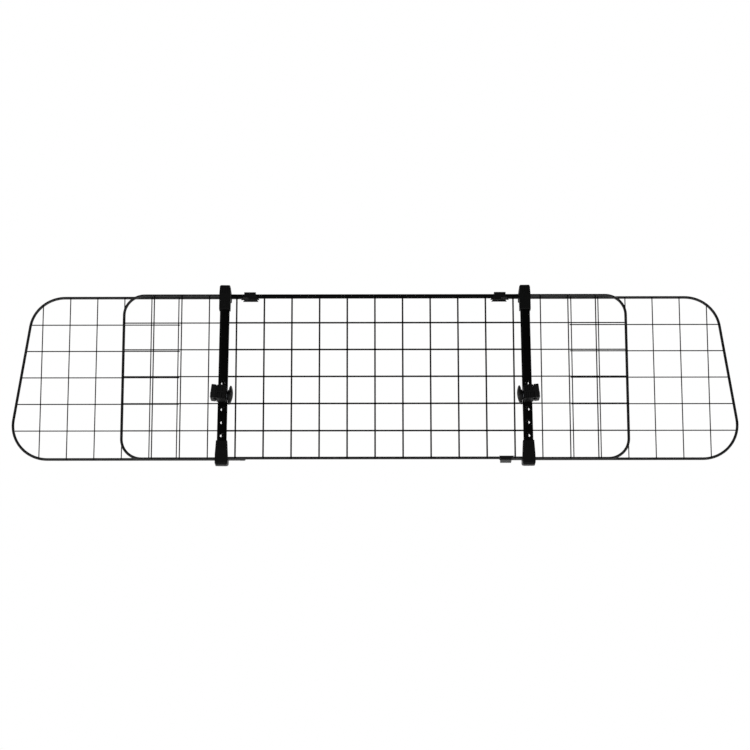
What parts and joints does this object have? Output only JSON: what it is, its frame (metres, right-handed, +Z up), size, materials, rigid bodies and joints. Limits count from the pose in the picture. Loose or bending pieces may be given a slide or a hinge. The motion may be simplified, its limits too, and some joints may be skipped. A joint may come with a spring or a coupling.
{
  "type": "car dog guard",
  "caption": "Welded wire dog guard of a middle panel, two side panels and two sliding wings, on two posts with hook caps and headrest clamps turned by star knobs.",
  "frame": {"origin": "midway between the two headrest rods, level with the bolts that the clamps turn on", "axes": "+X to the guard's right as seen from the seats, +Y to the load space, +Z up"},
  "size_m": [1.3062, 0.0716, 0.3322],
  "materials": {
    "coated_rod": "black powder coat",
    "coated_wire": "black powder coat",
    "coated_tube": "satin black powder coat",
    "pressed_steel": "thin black coat on pressed sheet",
    "cap_plastic": "moulded black polypropylene",
    "clamp_plastic": "moulded black nylon",
    "knob_plastic": "moulded black nylon, fine grained",
    "black_bolt": "black oxide",
    "zinc_steel": "bright zinc plate"
  },
  "bodies": {
    "guard": {"middle_top_rail": "coated_rod", "middle_bottom_rail": "coated_rod", "middle_mesh": "coated_wire", "left_end_rod": "coated_rod", "left_side_frame": "coated_rod", "left_side_mesh": "coated_wire", "right_end_rod": "coated_rod", "right_side_frame": "coated_rod", "right_side_mesh": "coated_wire"},
    "left_wing": {"left_wing_frame": "coated_rod", "left_wing_mesh": "coated_wire", "left_wing_top_clip": "pressed_steel"},
    "left_post": {"left_post_tube": "coated_tube", "left_post_top_cap": "cap_plastic", "left_post_foot_cap": "cap_plastic", "left_swivel_bolt": "black_bolt"},
    "left_clamp": {"left_clamp_body": "clamp_plastic", "left_clamp_washer": "zinc_steel", "left_swivel_nut": "zinc_steel"},
    "left_jaw": {"left_clamp_jaw": "clamp_plastic", "left_clamp_bolt": "black_bolt"},
    "left_knob": {"left_clamp_knob": "knob_plastic"},
    "right_wing": {"right_wing_frame": "coated_rod", "right_wing_mesh": "coated_wire", "right_wing_top_clip": "pressed_steel", "right_wing_bottom_clip": "pressed_steel"},
    "right_post": {"right_post_tube": "coated_tube", "right_post_top_cap": "cap_plastic", "right_post_foot_cap": "cap_plastic", "right_swivel_bolt": "black_bolt"},
    "right_clamp": {"right_clamp_body": "clamp_plastic", "right_clamp_washer": "zinc_steel", "right_swivel_nut": "zinc_steel"},
    "right_jaw": {"right_clamp_jaw": "clamp_plastic", "right_clamp_bolt": "black_bolt"},
    "right_knob": {"right_clamp_knob": "knob_plastic"}
  },
  "joints": [
    {"name": "left_wing_slide", "type": "slide", "parent": "guard", "child": "left_wing", "axis": [-1, 0, 0], "range_m": [-0.195, 0.005]},
    {"name": "left_post_slide", "type": "slide", "parent": "guard", "child": "left_post", "axis": [-1, 0, 0], "range_m": [-0.005, 0.1]},
    {"name": "left_clamp_swivel", "type": "hinge", "parent": "left_post", "child": "left_clamp", "pos_m": [-0.2726, 0, 0], "axis": [0, 1, 0], "range_deg": [-14, 1]},
    {"name": "left_jaw_slide", "type": "slide", "parent": "left_clamp", "child": "left_jaw", "axis": [-0.9936, 0, 0.1132], "range_m": [0, 0.005]},
    {"name": "left_knob_turn", "type": "hinge", "parent": "left_clamp", "child": "left_knob", "pos_m": [-0.2726, 0.011, 0], "axis": [0.9936, 0, -0.1132], "range_deg": [0, 1800]},
    {"name": "right_wing_slide", "type": "slide", "parent": "guard", "child": "right_wing", "axis": [1, 0, 0], "range_m": [-0.195, 0.005]},
    {"name": "right_post_slide", "type": "slide", "parent": "guard", "child": "right_post", "axis": [1, 0, 0], "range_m": [-0.005, 0.1]},
    {"name": "right_clamp_swivel", "type": "hinge", "parent": "right_post", "child": "right_clamp", "pos_m": [0.2726, 0, 0], "axis": [0, -1, 0], "range_deg": [-14, 1]},
    {"name": "right_jaw_slide", "type": "slide", "parent": "right_clamp", "child": "right_jaw", "axis": [0.9936, 0, 0.1132], "range_m": [0, 0.005]},
    {"name": "right_knob_turn", "type": "hinge", "parent": "right_clamp", "child": "right_knob", "pos_m": [0.2726, 0.011, 0], "axis": [-0.9936, 0, -0.1132], "range_deg": [0, 1800]}
  ],
  "couplings": [
    {"joint": "left_jaw_slide", "follows": "left_knob_turn", "m_per_rad": 0.00015915},
    {"joint": "right_jaw_slide", "follows": "right_knob_turn", "m_per_rad": 0.00015915}
  ]
}
